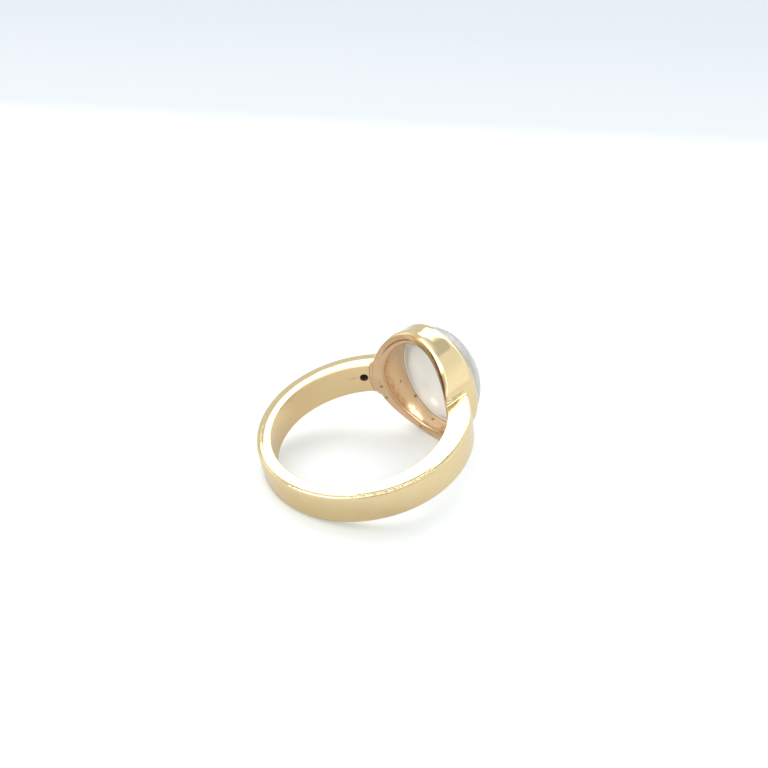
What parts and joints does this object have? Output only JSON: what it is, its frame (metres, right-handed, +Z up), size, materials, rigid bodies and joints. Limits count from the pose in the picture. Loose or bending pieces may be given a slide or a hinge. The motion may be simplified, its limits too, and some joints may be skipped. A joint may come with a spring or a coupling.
{
  "type": "moonstone ring",
  "caption": "Polished gold finger ring with flat shoulders that hold an open-backed oval bezel cup, set with a domed oval moonstone, lying on its side.",
  "frame": {"origin": "under the middle of the ring's bounding box, on the surface that the ring lies on", "axes": "+Z up, +X from the back of the band towards the stone, +Y across the finger hole to the shoulder with the drill mark; the finger hole's axis leans 14.5 degrees back from +Z towards -X"},
  "size_m": [0.0244, 0.0212, 0.0132],
  "materials": {
    "gold": "polished yellow gold with fine wear",
    "moonstone": "polished, milky and translucent"
  },
  "bodies": {
    "root": {"gold_mount": "gold", "moonstone": "moonstone"}
  },
  "joints": []
}
